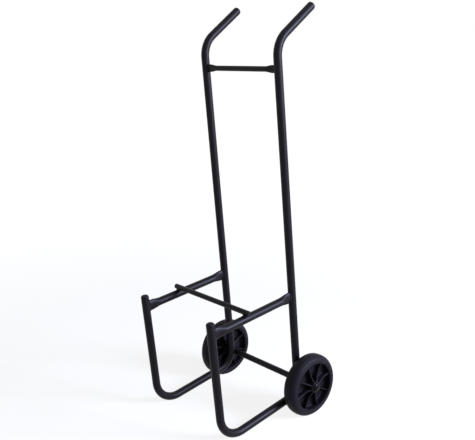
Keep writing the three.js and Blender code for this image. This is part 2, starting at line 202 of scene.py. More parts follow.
half = FLOOR_HALF
floor_corners = [(-half, -half, 0), (half, -half, 0), (half, half, 0), (-half, half, 0)]
floor_mesh = bpy.data.meshes.new("floor")
floor_mesh.from_pydata(floor_corners, [], [(0, 1, 2, 3)])
floor_mesh.materials.append(floor_paper())
floor = bpy.data.objects.new("floor", floor_mesh)
bpy.context.scene.collection.objects.link(floor)
floor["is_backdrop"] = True
print("floor:", 2 * FLOOR_HALF, "m wide")

# %% Two lamps
# Each line gives a name, the place, the point it looks at, the size, the power and the colour.
LAMPS = (
    ("window", (3.48, 1.85, 2.04), (0, 0, 0.6), (1.5, 1.5), 470, "#d0d9ff"),
    ("wide_screen", (5.6, 1.7, 1.9), (0, 0, 0.7), (5.0, 2.0), 130, "#fbf9ff"),
)


def soft_box(name, place, target, size, power, colour):
    lamp = bpy.data.lights.new(name, "AREA")
    lamp.shape = "RECTANGLE"
    lamp.size, lamp.size_y = size
    lamp.energy = power
    lamp.color = linear(colour)[:3]
    box = bpy.data.objects.new(name, lamp)
    box.location = place
    box.rotation_euler = (Vector(target) - Vector(place)).to_track_quat("-Z", "Y").to_euler()
    bpy.context.scene.collection.objects.link(box)
    return box


for values in LAMPS:
    lamp_box = soft_box(*values)
    print(lamp_box.name, lamp_box.data.energy, "W")

# %% [markdown]
# One recipe for every finish
#
# No painted or moulded surface is quite even. Each finish below is the same small network
# with its own values: a wide noise lets the colour and the roughness wander between two
# values, and one or two finer noises raise the bump, the wider one under the finer one. Four
# networks written out would say the same thing four times. Every pattern has a real size in
# millimetres, and a Noise node's scale is one over that size in metres.

# %% A network from a few values
TONE_FROM, TONE_TO = 0.35, 0.65
GLOSS_FROM, GLOSS_TO = 0.3, 0.7
BUMP_DETAIL = 2.0


def new_finish(name, tones, roughness, specular, wander, bumps):
    """Wander is a size and a detail, and bumps are pairs of a size and a depth, widest first."""
    material = bpy.data.materials.new(name)
    material.use_nodes = True
    tree = material.node_tree
    tree.nodes.clear()
    place = add_node(tree, "ShaderNodeTexCoord").outputs["Object"]
    wide = add_node(tree, "ShaderNodeTexNoise", {
        "Vector": place, "Scale": 1 / wander[0], "Detail": wander[1]})
    colour = add_node(tree, "ShaderNodeValToRGB", {"Fac": wide.outputs["Fac"]})
    for stop, where, tone in zip(colour.color_ramp.elements, (TONE_FROM, TONE_TO), tones):
        stop.position = where
        stop.color = linear(tone)
    gloss = add_node(tree, "ShaderNodeMapRange", {
        "Value": wide.outputs["Fac"], "From Min": GLOSS_FROM, "From Max": GLOSS_TO,
        "To Min": roughness[0], "To Max": roughness[1]})
    skin = {}
    for size, depth in bumps:
        fine = add_node(tree, "ShaderNodeTexNoise", {
            "Vector": place, "Scale": 1 / size, "Detail": BUMP_DETAIL})
        raised = add_node(tree, "ShaderNodeBump", {
            "Height": fine.outputs["Fac"], "Distance": depth, "Strength": 1.0, **skin})
        skin = {"Normal": raised.outputs["Normal"]}
    shader = add_node(tree, "ShaderNodeBsdfPrincipled", {
        "Base Color": colour.outputs["Color"], "Roughness": gloss.outputs[0],
        "Specular IOR Level": specular, **skin})
    add_node(tree, "ShaderNodeOutputMaterial", {"Surface": shader.outputs[0]})
    print(name, "has", len(tree.nodes), "nodes")
    return material


# %% [markdown]
# Black powder paint on steel
#
# The frame is powder coated: dry paint is dusted on and baked until it flows together. It
# leaves a fine orange-peel skin and a soft gloss that is never quite even, because hands and
# chair legs rub it. The peel has hollows 1 to 2 mm across. That is too fine to show in the
# whole picture, so a second, wider ripple of 6 mm is added below it to break up the streaks
# of light along the tubes.

# %% The paint of the frame
MM = 0.001
PEEL = (1.6 * MM, 0.004 * MM)
RIPPLE = (6 * MM, 0.015 * MM)
RUB = (45 * MM, 4.0)

paint = new_finish("powder_coated_steel", tones=("#090509", "#0d080e"), roughness=(0.42, 0.48),
                   specular=0.13, wander=RUB, bumps=[RIPPLE, PEEL])

# %% [markdown]
# Solid rubber for the tyres
#
# The tyres are moulded from solid rubber. Rubber scatters light at its surface, so its
# highlights are wide and grey, and a little dust always sits on it. The colour therefore
# wanders between two near blacks, and the bump is a fine grain of half a millimetre, drawn
# at 1 mm so that it shows.

# %% The rubber of the tyres
GRAIN = (1.0 * MM, 0.03 * MM)
DUST = (30 * MM, 5.0)

rubber = new_finish("solid_rubber", tones=("#0c090e", "#131016"), roughness=(0.5, 0.6),
                    specular=0.1, wander=DUST, bumps=[GRAIN])

# %% [markdown]
# Moulded plastic for wheel centres, plugs and caps
#
# The wheel centres are moulded polypropylene with a satin skin copied from the steel mould,
# and the plugs are the same. The small caps on the axle are smoother, and a lamp shows in
# them as one bright spot.

# %% Two plastics
SKIN_SIZE = 0.8 * MM
SATIN_SKIN, SMOOTH_SKIN = (SKIN_SIZE, 0.006 * MM), (SKIN_SIZE, 0.002 * MM)
FLOW = (25 * MM, 3.0)

plastic = new_finish("satin_polypropylene", tones=("#0b090e", "#110f15"), roughness=(0.42, 0.52),
                     specular=0.12, wander=FLOW, bumps=[SATIN_SKIN])
cap_finish = new_finish("smooth_nylon", tones=("#050507", "#08080b"), roughness=(0.14, 0.2),
                        specular=0.09, wander=FLOW, bumps=[SMOOTH_SKIN])

# %% [markdown]
# Where everything is
#
# The side view gives the whole frame. The wheels stand on the floor, the rear bend hangs from
# the axle, and the base run slopes down until the front bend touches the floor as well. These
# few lines work that out from the sizes of the parts, so that each tube, weld and rod below
# can ask for its place. The CAD tube has flat sides, so it touches the floor with the middle
# of a side, which is a little nearer to its line than its radius.

# %% Sizes of the frame in its side view
TUBE_RADIUS = 12.5 * MM
HALF_SPAN = 159 * MM
UPRIGHT_LEAN, POST_LEAN, HANDLE_LEAN = (math.radians(angle) for angle in (6.55, 7.1, 52.65))
HANDLE_BEND, FRONT_BEND, REAR_BEND = 75 * MM, 75 * MM, 60 * MM
HANDLE_RUN, UPRIGHT_RUN, BASE_RUN, POST_RUN = 129.5 * MM, 1003 * MM, 190 * MM, 305 * MM
AXLE_SET_BACK = 10.8 * MM
AXLE_INTO_BEND = math.radians(12)
CAD_TUBE_SIDES = 20
ACROSS = Vector((1, 0, 0))
SIDES = (("left", -1), ("right", 1))

axle_low, axle_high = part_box("axle")
AXLE = Vector((0, (axle_low.y + axle_high.y) / 2, (axle_low.z + axle_high.z) / 2))
print("axle at", [round(v, 4) for v in AXLE])


# %% Bends, runs and ends
def heading(angle):
    """A direction in the side view, counted from the back and turning upwards."""
    return Vector((0, math.cos(angle), math.sin(angle)))


up_upright = heading(math.pi / 2 + UPRIGHT_LEAN)
up_post = heading(math.pi / 2 + POST_LEAN)
up_handle = heading(math.pi / 2 - HANDLE_LEAN)
behind_upright = heading(UPRIGHT_LEAN)
from_bend = heading(UPRIGHT_LEAN - AXLE_INTO_BEND)
rear_centre = AXLE - from_bend * (REAR_BEND + AXLE_SET_BACK)
lowest_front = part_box("left_side_tube")[0].z
flat_reach = TUBE_RADIUS * math.cos(math.pi / CAD_TUBE_SIDES)
# The slope that sets the front bend on the floor, from the step in height between two centres.
front_rise = FRONT_BEND + flat_reach + lowest_front - rear_centre.z
base_slope = (math.acos(front_rise / math.hypot(FRONT_BEND - REAR_BEND, BASE_RUN))
              - math.atan2(BASE_RUN, FRONT_BEND - REAR_BEND))
down_base = heading(math.pi + base_slope)
under_base = heading(base_slope - math.pi / 2)
rear_bend_end = rear_centre + under_base * REAR_BEND
front_centre = rear_bend_end + down_base * BASE_RUN - under_base * FRONT_BEND
post_foot = front_centre + heading(math.pi + POST_LEAN) * FRONT_BEND
post_top = post_foot + up_post * POST_RUN
upright_foot = rear_centre + behind_upright * REAR_BEND
upright_head = upright_foot + up_upright * UPRIGHT_RUN
handle_centre = upright_head + behind_upright * HANDLE_BEND
handle_foot = handle_centre + heading(math.pi - HANDLE_LEAN) * HANDLE_BEND
handle_end = handle_foot + up_handle * HANDLE_RUN
print("handle end", [round(v, 4) for v in handle_end])
print("post top", [round(v, 4) for v in post_top])

# %% [markdown]
# The bent side tubes
#
# A tube bender starts from straight tube and rolls it round a former, so the path is a row of
# straight runs with a round corner between each two. Geometry Nodes can do the same: the tree
# takes the corner points of the bare path, rounds each corner with the Fillet Curve node by
# the radius that is stored on that point, and sweeps a circle along the result. Moving one
# corner then rebuilds the whole tube.

# %% The start and the end of every tree
def new_tree(name, inputs):
    tree = bpy.data.node_groups.new(name, "GeometryNodeTree")
    tree.interface.new_socket("Geometry", in_out="INPUT", socket_type="NodeSocketGeometry")
    for label, kind, value in inputs:
        made = tree.interface.new_socket(label, in_out="INPUT", socket_type="NodeSocket" + kind)
        if value is not None:
            made.default_value = value
    tree.interface.new_socket("Geometry", in_out="OUTPUT", socket_type="NodeSocketGeometry")
    return tree, add_node(tree, "NodeGroupInput").outputs


def end_tree(tree, geometry, material):
    real = add_node(tree, "GeometryNodeRealizeInstances", {"Geometry": geometry})
    dressed = add_node(tree, "GeometryNodeSetMaterial", {
        "Geometry": real.outputs[0], "Material": material})
    add_node(tree, "NodeGroupOutput", {"Geometry": dressed.outputs[0]})
    print(tree.name, "has", len(tree.nodes), "nodes")
    return tree


# %% A tree that bends a tube
def bent_tube_tree():
    tree, given = new_tree("bent_tube", [
        ("Tube Radius", "Float", TUBE_RADIUS),
        ("Corner Steps", "Int", 20),
        ("Sides", "Int", 40),
        ("Material", "Material", None),
    ])
    path = add_node(tree, "GeometryNodeMeshToCurve", {"Mesh": given["Geometry"]})
    radius = add_node(tree, "GeometryNodeInputNamedAttribute", {
        "Name": "bend_radius"}, data_type="FLOAT")
    rounded = add_node(tree, "GeometryNodeFilletCurve", {
        "Curve": path.outputs[0], "Count": given["Corner Steps"],
        "Radius": radius.outputs[0]}, mode="POLY")
    circle = add_node(tree, "GeometryNodeCurvePrimitiveCircle", {
        "Resolution": given["Sides"], "Radius": given["Tube Radius"]})
    swept = add_node(tree, "GeometryNodeCurveToMesh", {
        "Curve": rounded.outputs[0], "Profile Curve": circle.outputs[0], "Fill Caps": True})
    return end_tree(tree, swept.outputs[0], given["Material"])


tube_tree = bent_tube_tree()


# %% A bare path
def path_object(name, points, closed=False, radii=None):
    edges = [(i, i + 1) for i in range(len(points) - 1)]
    if closed:
        edges.append((len(points) - 1, 0))
    mesh = bpy.data.meshes.new(name)
    mesh.from_pydata([tuple(point) for point in points], edges, [])
    if radii:
        layer = mesh.attributes.new("bend_radius", "FLOAT", "POINT")
        layer.data.foreach_set("value", radii)
    made = bpy.data.objects.new(name, mesh)
    bpy.context.scene.collection.objects.link(made)
    return made


# %% A plain mesh from a tree
SHARP_FROM = math.radians(38)


def shaded(made):
    made.data.shade_smooth()
    made.data.set_sharp_from_angle(angle=SHARP_FROM)
    return made


def grown(made, tree, **inputs):
    """Runs a tree on an object and keeps the result as a plain mesh."""
    modifier = made.modifiers.new("tree", "NODES")
    modifier.node_group = tree
    for socket in tree.interface.items_tree:
        if socket.item_type == "SOCKET" and socket.in_out == "INPUT" and socket.name in inputs:
            modifier[socket.identifier] = inputs[socket.name]
    bpy.context.view_layer.update()
    result = made.evaluated_get(bpy.context.evaluated_depsgraph_get())
    mesh = bpy.data.meshes.new_from_object(result)
    made.modifiers.remove(modifier)
    made.data = mesh
    return shaded(made)


# %% Handing a finished piece over
def settled(piece, body, slot, *nodes):
    """Fixes a finished piece to its body and hides the solids it stands for. The slot, the name of
    its finish, is not used.
    """
    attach(piece, body)
    if nodes:
        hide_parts(*nodes)
    print(piece.name, "rides on", body, "with", len(piece.data.polygons), "faces")


# %% Two side tubes
def crossing(point, direction, other, other_direction):
    """Where two lines in the side view cross."""
    across = direction.y * other_direction.z - direction.z * other_direction.y
    gap = other - point
    along = (gap.y * other_direction.z - gap.z * other_direction.y) / across
    return point + direction * along


corners = [
    handle_end,
    crossing(handle_foot, up_handle, upright_head, up_upright),
    crossing(upright_foot, up_upright, rear_bend_end, down_base),
    crossing(rear_bend_end, down_base, post_foot, up_post),
    post_top,
]
bend_radii = [0, HANDLE_BEND, REAR_BEND, FRONT_BEND, 0]
for side, sign in SIDES:
    points = [corner + ACROSS * sign * HALF_SPAN for corner in corners]
    path = path_object(f"{side}_bent_tube", points, radii=bend_radii)
    tube = grown(path, tube_tree, Material=paint)
    settled(tube, "frame", "black_paint", f"{side}_side_tube")

# %% [markdown]
# Skinned and turned shapes
#
# Two old workshop ideas make the rest. A skin joins a row of outlines that all have as many
# points, which suits a tube whose ends are pressed flat. A turned shape is a profile spun
# round an axis, as on a lathe, which suits plugs, rods, bushes and wheels. Real edges are
# never sharp, so the profile's corners are softened before it is spun: a tiny round edge is
# what catches the light.

# %% A skin over outlines
def mesh_object(name, points, faces, material):
    mesh = bpy.data.meshes.new(name)
    mesh.from_pydata([tuple(point) for point in points], [], faces)
    mesh.materials.append(material)
    made = bpy.data.objects.new(name, mesh)
    bpy.context.scene.collection.objects.link(made)
    return made


def outward(made):
    """Turns every face of a closed shape to look outwards."""
    volume = sum(face.center.dot(face.normal) * face.area for face in made.data.polygons)
    if volume < 0:
        made.data.flip_normals()
    return made


def skinned(name, rings, material):
    """Joins each outline to the next and closes the first and the last."""
    count = len(rings[0])
    last = (len(rings) - 1) * count
    faces = []
    for a in range(0, last, count):
        b = a + count
        for i in range(count):
            j = (i + 1) % count
            faces.append((a + i, a + j, b + j, b + i))
    faces.append(tuple(reversed(range(count))))
    faces.append(tuple(range(last, last + count)))
    points = [point for ring in rings for point in ring]
    return shaded(outward(mesh_object(name, points, faces, material)))


# %% Soft corners
CORNER_SHARE = 0.49


def softened(profile, radius, steps=3, closed=True):
    """Rounds the corners of a profile of (radius, place) points, or (radius, place, softness).

    A corner takes less than half of each edge beside it, so two corners never meet."""
    count = len(profile)
    result = []
    for i, point in enumerate(profile):
        here = Vector(point[:2])
        soft = point[2] if len(point) > 2 else radius
        if soft == 0 or (not closed and i in (0, count - 1)):
            result.append(here)
            continue
        before = Vector(profile[i - 1][:2]) - here
        after = Vector(profile[(i + 1) % count][:2]) - here
        reach = min(soft, before.length * CORNER_SHARE, after.length * CORNER_SHARE)
        start, end = here + before.normalized() * reach, here + after.normalized() * reach
        for k in range(steps + 1):
            t = k / steps
            result.append(start * (1 - t) ** 2 + here * 2 * t * (1 - t) + end * t ** 2)
    return [(point.x, point.y) for point in result]


square = softened([(0, 0), (1, 0), (1, 1), (0, 1)], 0.1)
print("a square with soft corners has", len(square), "points")

# %% A lathe
ON_AXIS = 1e-7


def turned(name, profile, centre, axis, material, sides, closed=True):
    """Spins a profile round an axis. An open profile starts and ends on the axis itself."""
    # Any direction that isn't the axis itself will do as a start.
    side = ACROSS if abs(axis.x) < 0.5 else Vector((0, 1, 0))
    side = (side - axis * side.dot(axis)).normalized()
    other = axis.cross(side)
    points, rows, faces = [], [], []
    for radius, place in profile:
        middle = centre + axis * place
        if radius < ON_AXIS:
            rows.append([len(points)] * sides)
            points.append(middle)
            continue
        rows.append(list(range(len(points), len(points) + sides)))
        for k in range(sides):
            angle = 2 * math.pi * k / sides
            points.append(middle + (side * math.cos(angle) + other * math.sin(angle)) * radius)
    pairs = list(zip(rows, rows[1:])) + ([(rows[-1], rows[0])] if closed else [])
    for row, next_row in pairs:
        for k in range(sides):
            j = (k + 1) % sides
            face = tuple(dict.fromkeys((row[k], row[j], next_row[j], next_row[k])))
            if len(face) > 2:
                faces.append(face)
    return shaded(outward(mesh_object(name, points, faces, material)))


# %% [markdown]
# Plugs in the tube ends
#
# Each open end is closed by a moulded plug with a rounded head that is a hair narrower
# than the tube, so the tube's cut edge shows as a fine ring around it. A flattened ball would
# do for the head alone. A turned profile gives head, neck and shank in one closed shape.

# %% Four end plugs
PLUG_HEAD, PLUG_HEAD_RADIUS = 6 * MM, TUBE_RADIUS * 0.98
PLUG_SHANK, PLUG_SHANK_RADIUS = 18 * MM, 10.2 * MM
PLUG_FLAT = PLUG_HEAD_RADIUS * 0.2
PLUG_GAP = 0.3 * MM
PLUG_EDGE = 0.4 * MM
PLUG_STEPS = 10
ROUND_SIDES = 48


def plug_profile():
    dome = []
    for k in range(1, PLUG_STEPS + 1):
        a = math.pi / 2 * k / PLUG_STEPS
        radius = PLUG_FLAT + (PLUG_HEAD_RADIUS - PLUG_FLAT) * math.cos(a)
        dome.append((radius, PLUG_GAP + PLUG_HEAD * math.sin(a)))
    neck = [(0, -PLUG_SHANK), (PLUG_SHANK_RADIUS, -PLUG_SHANK),
            (PLUG_SHANK_RADIUS, PLUG_GAP), (PLUG_HEAD_RADIUS, PLUG_GAP)]
    return softened(neck, PLUG_EDGE, closed=False) + dome + [(0, PLUG_GAP + PLUG_HEAD)]


for side, sign in SIDES:
    for place, end, way in (("handle", handle_end, up_handle), ("post", post_top, up_post)):
        plug = turned(f"{side}_{place}_end_plug", plug_profile(), end + ACROSS * sign * HALF_SPAN,
                      way, plastic, ROUND_SIDES, closed=False)
        settled(plug, "frame", "wheel_plastic", f"{side}_{place}_plug")

# %% [markdown]
# Rails and cross bar with pressed ends
#
# The rails and the top bar are pressed where they meet the side tubes, because a flat end is
# easy to weld. Pressing doesn't stretch the steel, so the girth of the tube stays about the
# same: the taller the end, the thinner it gets. The press leaves the sides a little full, so
# the outline is an oval and not a slot, and the streak of light runs on into the end. One
# cylinder can't do that, so a skin is drawn over outlines that change on the way.

# %% The outline of a pressed end
RAIL_RADIUS = 12.5 * MM
RAIL = dict(radius=RAIL_RADIUS, height=36 * MM, flat=8 * MM, blend=36 * MM)
BAR = dict(radius=8 * MM, height=23 * MM, flat=10 * MM, blend=30 * MM)
PRESSED_SIDES = 48
BELLY_SHARE = 0.3


def pressed_outline(radius, height):
    """An oval. It is as thick as a slot of the tube's girth, plus a share of the added height."""
    slot_radius = (2 * math.pi * radius - 2 * height) / (2 * math.pi - 4)
    belly = slot_radius + BELLY_SHARE * (height - 2 * radius)
    outline = []
    for i in range(PRESSED_SIDES):
        angle = (i + 0.5) / PRESSED_SIDES * 2 * math.pi
        outline.append((belly * math.cos(angle), height / 2 * math.sin(angle)))
    return outline


half_thick = max(x for x, tall in pressed_outline(RAIL["radius"], RAIL["height"]))
print("a rail's end is", round(2 * half_thick / MM, 1), "mm thick")

# %% Two rails and the top cross bar
RAIL_BELOW_POST_TOP = 34 * MM
RAIL_UP_UPRIGHT = 280 * MM
BAR_BELOW_HEAD = 31.5 * MM
SUNK_IN_TUBE = 2.5 * MM
BLEND_STEPS = 14


def pressed_tube(name, start, end, wide, tall, size):
    length = (end - start).length
    along = (end - start).normalized()
    blend_from = TUBE_RADIUS + size["flat"]
    places = [TUBE_RADIUS - SUNK_IN_TUBE]
    places += [blend_from + size["blend"] * k / BLEND_STEPS for k in range(BLEND_STEPS + 1)]
    places += [length - place for place in reversed(places)]
    rings = []
    for place in places:
        share = (min(place, length - place) - blend_from) / size["blend"]
        share = max(0.0, min(1.0, share))
        eased = share * share * (3 - 2 * share)
        height = size["height"] + (2 * size["radius"] - size["height"]) * eased
        centre = start + along * place
        rings.append([centre + wide * x + tall * t
                      for x, t in pressed_outline(size["radius"], height)])
    return skinned(name, rings, paint)


rail_front = post_top - up_post * RAIL_BELOW_POST_TOP
rail_rear = upright_foot + up_upright * RAIL_UP_UPRIGHT
rail_along = (rail_rear - rail_front).normalized()
rail_normal = ACROSS.cross(rail_along)
bar_place = upright_head - up_upright * BAR_BELOW_HEAD
half_across = ACROSS * HALF_SPAN

for side, sign in SIDES:
    shift = half_across * sign
    rail = pressed_tube(f"{side}_rail", rail_front + shift, rail_rear + shift,
                        ACROSS, rail_normal, RAIL)
    settled(rail, "frame", "black_paint", f"{side}_side_rail")
bar = pressed_tube("handle_bar_tie", bar_place - half_across, bar_place + half_across,
                   behind_upright, up_upright, BAR)
settled(bar, "frame", "black_paint", "top_crossbar")

# %% [markdown]
# The cross rod and its stubs
#
# A solid rod lies over both rails and runs past them, a little further on the right. It
# stands on two short stubs, whose ends are cut to the curve of the rail below and the rod
# above. A Boolean could cut them, but leaves ragged triangles. So each stub is skinned between
# those two curves, found by following straight lines until they meet the round surfaces.

# %% The rod
ROD_RADIUS = 8 * MM
ROD_EDGE = 2 * MM
ROD_CLEARANCE = 1.5 * MM
ROD_RISE = RAIL_RADIUS + ROD_CLEARANCE + ROD_RADIUS
ROD_LEFT, ROD_RIGHT = 11.5 * MM, 20.5 * MM
ROD_ALONG_RAIL = 131 * MM


def round_bar(name, centre, reach, radius, edge, material):
    profile = softened([(0, -reach), (radius, -reach), (radius, reach), (0, reach)],
                       edge, steps=5, closed=False)
    return turned(name, profile, centre, ACROSS, material, ROUND_SIDES, closed=False)


rod_foot = rail_front + rail_along * ROD_ALONG_RAIL
rod_place = rod_foot + rail_normal * ROD_RISE
rod_middle = rod_place + ACROSS * (ROD_RIGHT - ROD_LEFT) / 2
rod_reach = HALF_SPAN + (ROD_LEFT + ROD_RIGHT) / 2
rod = round_bar("load_rod", rod_middle, rod_reach, ROD_RADIUS, ROD_EDGE, paint)
settled(rod, "frame", "black_paint", "cross_rod")

# %% Two stubs
STUB_RADIUS = 6.5 * MM
STUB_SIDES = 40
STUB_SUNK = MM
# The straight lines start this far off, well clear of the surfaces that they meet.
START_AWAY = 60 * MM


def meeting(point, direction, axis_point, axis, radius):
    """The first place where a line from point meets a round bar."""
    offset = point - axis_point
    offset -= axis * offset.dot(axis)
    going = direction - axis * direction.dot(axis)
    a, b, c = going.dot(going), 2 * offset.dot(going), offset.dot(offset) - radius ** 2
    return point + direction * ((-b - math.sqrt(max(0.0, b * b - 4 * a * c))) / (2 * a))


def stub_ring(centre, axis_point, axis, radius, direction):
    """The stub's circle, moved in one direction until it lies on a round bar."""
    ring = []
    for k in range(STUB_SIDES):
        angle = 2 * math.pi * k / STUB_SIDES
        aside = ACROSS * math.cos(angle) + rail_along * math.sin(angle)
        start = centre + aside * STUB_RADIUS
        ring.append(meeting(start, direction, axis_point, axis, radius))
    return ring


stub_rings = {}
for side, sign in SIDES:
    foot = rod_foot + half_across * sign
    above, below = foot + rail_normal * START_AWAY, foot - rail_normal * START_AWAY
    low = stub_ring(above, foot, rail_along, RAIL_RADIUS, -rail_normal)
    high = stub_ring(below, rod_place, ACROSS, ROD_RADIUS, rail_normal)
    stub_rings[side] = (low, high)
    sunk_low = [point - rail_normal * STUB_SUNK for point in low]
    sunk_high = [point + rail_normal * STUB_SUNK for point in high]
    stub = skinned(f"{side}_stub", [sunk_low, low, high, sunk_high], paint)
    settled(stub, "frame", "black_paint", f"{side}_rod_stub")

# %% [markdown]
# The axle, its spacers, bushes and caps
#
# One straight bar carries both wheels. It sits in a round notch at the back of each rear bend.
# Outside the tube come a spacer ring, the wheel with a flanged bush in each end of its hub,
# and a domed cap that is pushed over the end of the axle. All of them were turned or moulded
# round, so each is a profile of a few points for the lathe.

# %% Sizes along the axle
AXLE_RADIUS = 10 * MM
FIT = 0.3 * MM
BORE = AXLE_RADIUS + FIT
WHEEL_WIDTH = 50 * MM
WHEEL_GAP = 5.5 * MM
WHEEL_MIDDLE = HALF_SPAN + TUBE_RADIUS + WHEEL_GAP + WHEEL_WIDTH / 2
HUB_INNER, HUB_OUTER = WHEEL_WIDTH / 2 + 0.5 * MM, WHEEL_WIDTH / 2 + 4.5 * MM
SPACER_RADIUS = 13.5 * MM
BUSH_LENGTH, BUSH_RADIUS = 15 * MM, 12.5 * MM
FLANGE, FLANGE_RADIUS = 1.5 * MM, 15.5 * MM
SMALL_EDGE = 0.5 * MM
CAP_BASE = WHEEL_MIDDLE + HUB_OUTER + FLANGE + FIT
CAP_DEPTH, CAP_RADIUS = 7.5 * MM, 13 * MM
print("cap tips are", round(2 * (CAP_BASE + CAP_DEPTH), 4), "m apart")

# %% Spacer, bush and cap as profiles
CAP_WALL, CAP_SHOULDER_EDGE, CAP_EDGE = 1.6 * MM, 0.8 * MM, 0.4 * MM
CAP_DOME = CAP_DEPTH * 0.7
CAP_STEPS = 12


def spacer_profile():
    inner = HALF_SPAN + TUBE_RADIUS + FIT
    outer = WHEEL_MIDDLE - HUB_INNER - FLANGE - FIT
    return softened([(BORE, inner), (SPACER_RADIUS, inner),
                     (SPACER_RADIUS, outer), (BORE, outer)], SMALL_EDGE)


def bush_profile(face):
    """A bush in the hub, whose flange lies on the hub's face."""
    inside = face - BUSH_LENGTH
    under = face + FIT / 2
    return softened([(BORE, inside), (BUSH_RADIUS, inside), (BUSH_RADIUS, under, 0),
                     (FLANGE_RADIUS, under), (FLANGE_RADIUS, face + FLANGE),
                     (BORE, face + FLANGE)], SMALL_EDGE)


def cap_profile():
    """A thin cup with a part of a ball on it."""
    ball = (CAP_RADIUS ** 2 + CAP_DOME ** 2) / (2 * CAP_DOME)
    edge_angle = math.asin(CAP_RADIUS / ball)
    ceiling = CAP_DEPTH - CAP_WALL
    cup = [(0, ceiling), (BORE, ceiling), (BORE, 0), (CAP_RADIUS, 0),
           (CAP_RADIUS, CAP_DEPTH - CAP_DOME, CAP_SHOULDER_EDGE)]
    dome = []
    for k in range(1, CAP_STEPS):
        a = edge_angle * (1 - k / CAP_STEPS)
        dome.append((ball * math.sin(a), CAP_DEPTH - ball * (1 - math.cos(a)), 0))
    return softened(cup + dome + [(0, CAP_DEPTH)], CAP_EDGE, closed=False)


print("cap profile:", len(cap_profile()), "points")

# %% The axle and what sits on it
AXLE_EDGE = MM
AXLE_INTO_CAP = CAP_DEPTH * 0.4

axle = round_bar("wheel_axle", AXLE, CAP_BASE + AXLE_INTO_CAP, AXLE_RADIUS, AXLE_EDGE, paint)
settled(axle, "frame", "black_paint", "axle")
for side, sign in SIDES:
    outwards = ACROSS * sign
    spacer = turned(f"{side}_spacer_ring", spacer_profile(), AXLE, outwards, paint, ROUND_SIDES)
    settled(spacer, "frame", "black_paint", f"{side}_axle_spacer")
    cap = turned(f"{side}_hub_cap", cap_profile(), AXLE + outwards * CAP_BASE, outwards,
                 cap_finish, ROUND_SIDES, closed=False)
    settled(cap, "frame", "cap_plastic", f"{side}_axle_cap")
    middle = AXLE + outwards * WHEEL_MIDDLE
    for place, way, face in (("inner", -1, HUB_INNER), ("outer", 1, HUB_OUTER)):
        bush = turned(f"{side}_{place}_bush_ring", bush_profile(face), middle, outwards * way,
                      plastic, ROUND_SIDES)
        settled(bush, f"{side}_wheel", "wheel_plastic", f"{side}_{place}_bush")

# %% [markdown]
# Tyres
#
# The tyre is one turned ring. A plain torus would be too round. The tread is flat for only a
# quarter of its width and then falls away to a blunt shoulder, from where the sidewall swells
# a little on its way to the plastic rim. The shoulder is what draws the line between the dark
# tread and the lit side. A faint ridge runs round the middle, where the two halves of the
# mould met.

# %% Two tyres
WHEEL_RADIUS = 100 * MM
WHEEL_SIDES = 128
SEAT_RADIUS = 78.5 * MM
SEAT_GAP = 0.15 * MM
RIM_STEP = 1.5 * MM
TYRE_EDGE = MM


def tyre_profile():
    """Seat, swelling, shoulder, slope, flat tread and the ridge's foot and top, then mirrored."""
    half = WHEEL_WIDTH / 2
    near = [
        (SEAT_RADIUS + SEAT_GAP, half - RIM_STEP, 0.4 * MM),
        (SEAT_RADIUS + 1.5 * MM, half, 1.2 * MM),
        (WHEEL_RADIUS - 9 * MM, half - 2 * MM, 4 * MM),
        (WHEEL_RADIUS - 1.2 * MM, half - 11.5 * MM, 5 * MM),
        (WHEEL_RADIUS, 6 * MM, 4 * MM),
        (WHEEL_RADIUS, 0.7 * MM, 0),
        (WHEEL_RADIUS + 0.2 * MM, 0.25 * MM, 0),
    ]
    far = [(radius, -place, soft) for radius, place, soft in reversed(near)]
    return softened(near + far, TYRE_EDGE, steps=7)


for side, sign in SIDES:
    middle = AXLE + ACROSS * sign * WHEEL_MIDDLE
    tyre = turned(f"{side}_rubber_tyre", tyre_profile(), middle, ACROSS * sign,
                  rubber, WHEEL_SIDES)
    settled(tyre, f"{side}_wheel", "tyre_rubber", f"{side}_tyre")

# %% [markdown]
# Ribbed wheel centres
#
# The centre is one moulding: a hub that stands proud on the outside, a thin web, a rim, and
# ribs that stiffen the web on both sides. A mould can't make knife edges, so a rib has a
# round edge and flares into the web. Its edge swoops down from the hub and rises again to
# the rim. One rib is skinned, and a tree turns copies of it round the axle and joins them
# to the turned body, so the number of ribs is a single value.

# %% The turned body
RIM_RADIUS = 75.5 * MM
HUB_RADIUS = 18.5 * MM
HUB_BORE = 12.8 * MM
WEB_HALF = 2 * MM
CENTRE_EDGE, RIM_EDGE, FINE_EDGE, WEB_FILLET = MM, 0.8 * MM, 0.4 * MM, 3 * MM


def centre_profile():
    rim = WHEEL_WIDTH / 2 - RIM_STEP

    def one_side(hub):
        """Points from the bore, over the hub, along the web and over the rim."""
        return [
            (HUB_BORE, hub, FINE_EDGE),
            (HUB_RADIUS - MM, hub, CENTRE_EDGE),
            (HUB_RADIUS, WEB_HALF, WEB_FILLET),
            (RIM_RADIUS - MM, WEB_HALF, WEB_FILLET),
            (RIM_RADIUS, rim, RIM_EDGE),
            (SEAT_RADIUS - SEAT_GAP, rim, FINE_EDGE),
        ]

    far = [(radius, -place, soft) for radius, place, soft in reversed(one_side(HUB_INNER))]
    return softened(one_side(HUB_OUTER) + far, CENTRE_EDGE, steps=4)


print("wheel centre profile:", len(centre_profile()), "points")

# %% One rib
RIB_STEPS = 16
RIB_EDGE_HALF = 1.6 * MM
RIB_INTO_HUB, RIB_INTO_RIM = 2 * MM, MM
RIB_BELOW_HUB, RIB_BELOW_RIM, RIB_DIP = 2.5 * MM, 5 * MM, 14 * MM
RIB_EDGE_ANGLES = [math.radians(angle) for angle in (15, 40, 65, 90)]
# How thick half a rib is at the flare of its foot, and how far above the web, in millimetres.
RIB_FOOT = ((1.9, 2.4), (2.2, 1.2), (2.9, 0.3), (3.8, -0.4))


